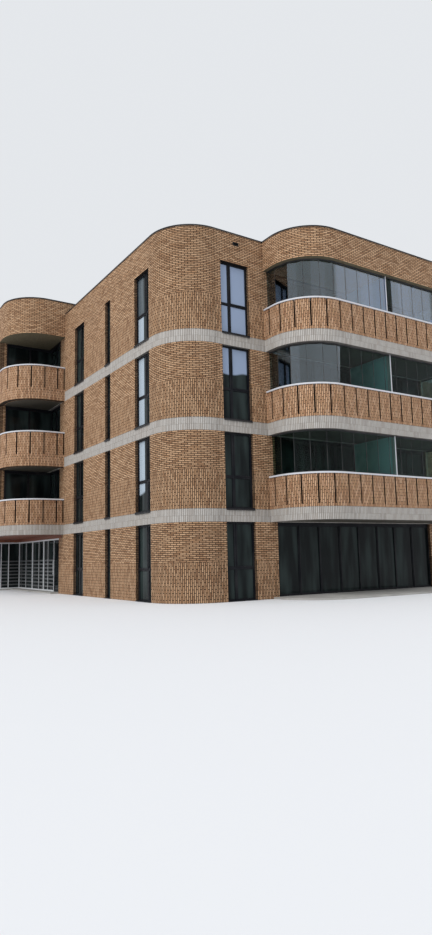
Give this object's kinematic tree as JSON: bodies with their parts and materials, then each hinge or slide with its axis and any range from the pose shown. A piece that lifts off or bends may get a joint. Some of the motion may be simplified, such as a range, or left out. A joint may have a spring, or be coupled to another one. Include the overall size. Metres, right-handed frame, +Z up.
{
  "type": "apartment block",
  "caption": "Low apartment block of buff brick with pale bands, rounded corners, curved balcony wings with slotted parapets and glass, tall dark windows and an entrance door that opens.",
  "frame": {"origin": "centre of the building's footprint, on the ground", "axes": "+Z up; +Y along the building's length, from the balcony front towards the back; +X to the right seen from the front"},
  "size_m": [20.62, 32.85, 13.25],
  "materials": {
    "concrete": "plain concrete",
    "roofing": "grey roofing felt with fine grit",
    "brick": "buff brick in half bond, stood on end low in each storey",
    "panel_brick": "warm buff brick stood on end",
    "pale_brick": "pale grey brick stood on end",
    "soffit": "dark plaster ceiling under a slab",
    "trim": "dark coated aluminium",
    "coping": "pale coated coping",
    "balcony_glass": "clear frameless glass",
    "rail": "dark glass rail",
    "frosted_glass": "frosted blue-green glass",
    "frame": "near black window frame",
    "window_glass": "window glass",
    "ceiling_boards": "red brown ceiling boards",
    "entrance_metal": "light grey coated metal"
  },
  "bodies": {
    "building": {"ground_slab": "concrete", "floor_1": "concrete", "floor_2": "concrete", "floor_3": "concrete", "roof_deck": "roofing", "brick_piers_1": "brick", "brick_piers_2": "brick", "brick_piers_3": "brick", "brick_piers_4": "brick", "roof_parapet": "brick", "roof_trim": "trim", "white_band_1": "pale_brick", "white_band_2": "pale_brick", "white_band_3": "pale_brick", "front_slabs": "soffit", "back_slabs": "soffit", "left_slabs": "soffit", "right_slabs": "soffit", "front_parapets": "panel_brick", "back_parapets": "panel_brick", "left_parapets": "panel_brick", "right_parapets": "panel_brick", "copings": "coping", "front_attic": "brick", "back_attic": "brick", "left_attic": "brick", "right_attic": "brick", "front_balcony_glass": "balcony_glass", "back_balcony_glass": "balcony_glass", "glass_rails": "rail", "privacy_screens": "frosted_glass", "front_window_frames": "frame", "back_window_frames": "frame", "left_window_frames": "frame", "right_window_frames": "frame", "window_glass": "window_glass", "balcony_door_frames": "frame", "balcony_door_glass": "window_glass", "bay_side_frames": "frame", "bay_walls": "brick", "wing_ceilings": "ceiling_boards", "entrance_screen": "entrance_metal", "wing_screens": "entrance_metal", "screen_glass": "window_glass", "roof_outlets": "trim"},
    "door": {"entrance_door": "frame", "door_glass": "window_glass"}
  },
  "joints": [
    {"name": "door_hinge", "type": "hinge", "parent": "building", "child": "door", "pos_m": [-7.77, -3.541, 1.218], "axis": [0, 0, 1], "range_deg": [0, 90]}
  ]
}
